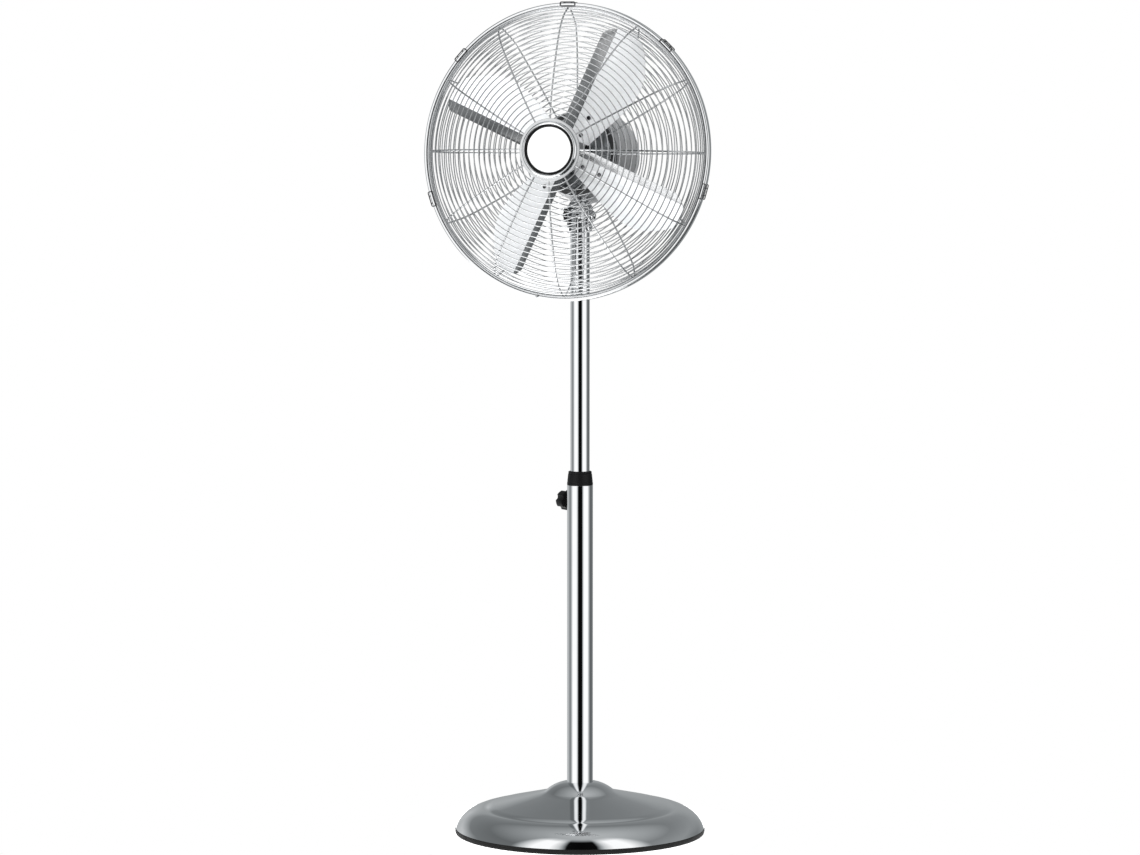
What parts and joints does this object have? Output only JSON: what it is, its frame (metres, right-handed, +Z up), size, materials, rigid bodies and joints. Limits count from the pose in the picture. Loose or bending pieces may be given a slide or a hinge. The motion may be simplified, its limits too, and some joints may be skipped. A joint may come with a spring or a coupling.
{
  "type": "pedestal fan",
  "caption": "Pedestal fan with a round domed base, a telescopic column and a caged head of twisted blades that tilts and swings from side to side.",
  "frame": {"origin": "on the column's axis at floor level, at the middle of the base's underside", "axes": "+Z up along the column, -Y the way the head blows at rest, +X to the head's left as it faces"},
  "size_m": [0.441, 0.3782, 1.2514],
  "materials": {
    "chrome": "mirror-bright chrome plate",
    "black_rubber": "soft black",
    "cast_iron": "rough, black",
    "zinc_steel": "zinc plated",
    "black_plastic": "fine satin",
    "nylon": "natural white",
    "cast_aluminium": "as cast",
    "lamination_steel": "oiled laminations",
    "copper": "varnished copper wire",
    "polished_aluminium": "polished and plated",
    "dark_paint": "semi-gloss black",
    "satin_badge": "satin silver white, bare"
  },
  "bodies": {
    "stand": {"base_cover": "chrome", "base_edge_trim": "black_rubber", "base_weight": "cast_iron", "base_feet": "black_rubber", "base_socket": "cast_iron", "base_bolt": "zinc_steel", "lower_tube": "chrome", "height_collar": "black_plastic", "clamp_boss": "chrome"},
    "height_knob": {"height_knob": "black_plastic", "height_stud": "zinc_steel"},
    "mast": {"upper_tube": "chrome", "slide_shoe": "black_plastic", "mast_head": "chrome"},
    "neck": {"tilt_fork": "chrome", "tilt_bolt": "zinc_steel", "tilt_cap_nut": "chrome", "oscillation_spindle": "zinc_steel", "link_anchor": "zinc_steel", "neck_washer": "nylon"},
    "tilt_knob": {"tilt_knob": "black_plastic"},
    "link": {"oscillation_link": "zinc_steel"},
    "head": {"motor_front_bell": "cast_aluminium", "motor_rear_bell": "cast_aluminium", "stator_core": "lamination_steel", "stator_windings": "copper", "motor_bolts": "zinc_steel", "shaft_bearings": "zinc_steel", "gearbox_case": "cast_aluminium", "gearbox_lid": "cast_aluminium", "motor_housing": "chrome", "motor_front_cover": "dark_paint", "guard_nut": "black_plastic", "speed_switch": "black_plastic", "run_capacitor": "black_plastic", "front_guard": "chrome", "rear_guard": "chrome", "guard_hoop": "chrome", "guard_clips": "chrome", "hoop_screw": "chrome", "badge_bezel": "chrome", "badge_disc": "satin_badge", "badge_back": "zinc_steel", "badge_screws": "zinc_steel"},
    "clutch_knob": {"clutch_knob": "black_plastic"},
    "speed_knob": {"speed_knob": "black_plastic"},
    "rotor": {"motor_shaft": "zinc_steel", "worm": "zinc_steel", "rotor_core": "lamination_steel", "blade_hub": "cast_aluminium", "blade_1": "polished_aluminium", "blade_2": "polished_aluminium", "blade_3": "polished_aluminium", "blade_4": "polished_aluminium", "blade_rivets": "zinc_steel", "spinner_nut": "chrome"},
    "worm_wheel": {"worm_wheel": "nylon"},
    "crank": {"crank_gear": "nylon"}
  },
  "joints": [
    {"name": "height_slide", "type": "slide", "parent": "stand", "child": "mast", "axis": [0, 0, 1], "range_m": [-0.25, 0.03]},
    {"name": "height_knob_turn", "type": "hinge", "parent": "stand", "child": "height_knob", "pos_m": [0, 0, 0.502], "axis": [-0.7547, 0.6561, 0], "range_deg": [0, 360]},
    {"name": "tilt", "type": "hinge", "parent": "mast", "child": "neck", "pos_m": [0, 0, 0.934], "axis": [-1, 0, 0], "range_deg": [-10, 25]},
    {"name": "tilt_knob_turn", "type": "hinge", "parent": "neck", "child": "tilt_knob", "pos_m": [-0.02, 0, 0.934], "axis": [-1, 0, 0], "range_deg": [0, 360]},
    {"name": "oscillation", "type": "hinge", "parent": "neck", "child": "head", "pos_m": [0, 0, 0.934], "axis": [0, 0.0593, 0.9982], "range_deg": [-40, 40]},
    {"name": "link_swing", "type": "hinge", "parent": "neck", "child": "link", "pos_m": [0.018, 0.00231, 0.97293], "axis": [0, 0.0593, 0.9982], "range_deg": [-40, 40]},
    {"name": "fan_spin", "type": "hinge", "parent": "head", "child": "rotor", "pos_m": [0, 0.0054, 1.02484], "axis": [0, -0.9982, 0.0593], "continuous": true},
    {"name": "wheel_spin", "type": "hinge", "parent": "head", "child": "worm_wheel", "pos_m": [0.01558, 0.10975, 1.01864], "axis": [0, 0.0593, 0.9982], "continuous": true},
    {"name": "crank_spin", "type": "hinge", "parent": "head", "child": "crank", "pos_m": [0, 0.09469, 0.97646], "axis": [0, 0.0593, 0.9982], "continuous": true},
    {"name": "clutch_pull", "type": "slide", "parent": "head", "child": "clutch_knob", "axis": [0, 0.0593, 0.9982], "range_m": [0, 0.008]},
    {"name": "speed_turn", "type": "hinge", "parent": "head", "child": "speed_knob", "pos_m": [0, 0.13317, 1.01725], "axis": [0, -0.9982, 0.0593], "range_deg": [0, 135]}
  ],
  "couplings": [
    {"joint": "link_swing", "follows": "oscillation", "ratio": 1},
    {"joint": "wheel_spin", "follows": "fan_spin", "ratio": 0.041667},
    {"joint": "crank_spin", "follows": "fan_spin", "ratio": -0.010417}
  ]
}
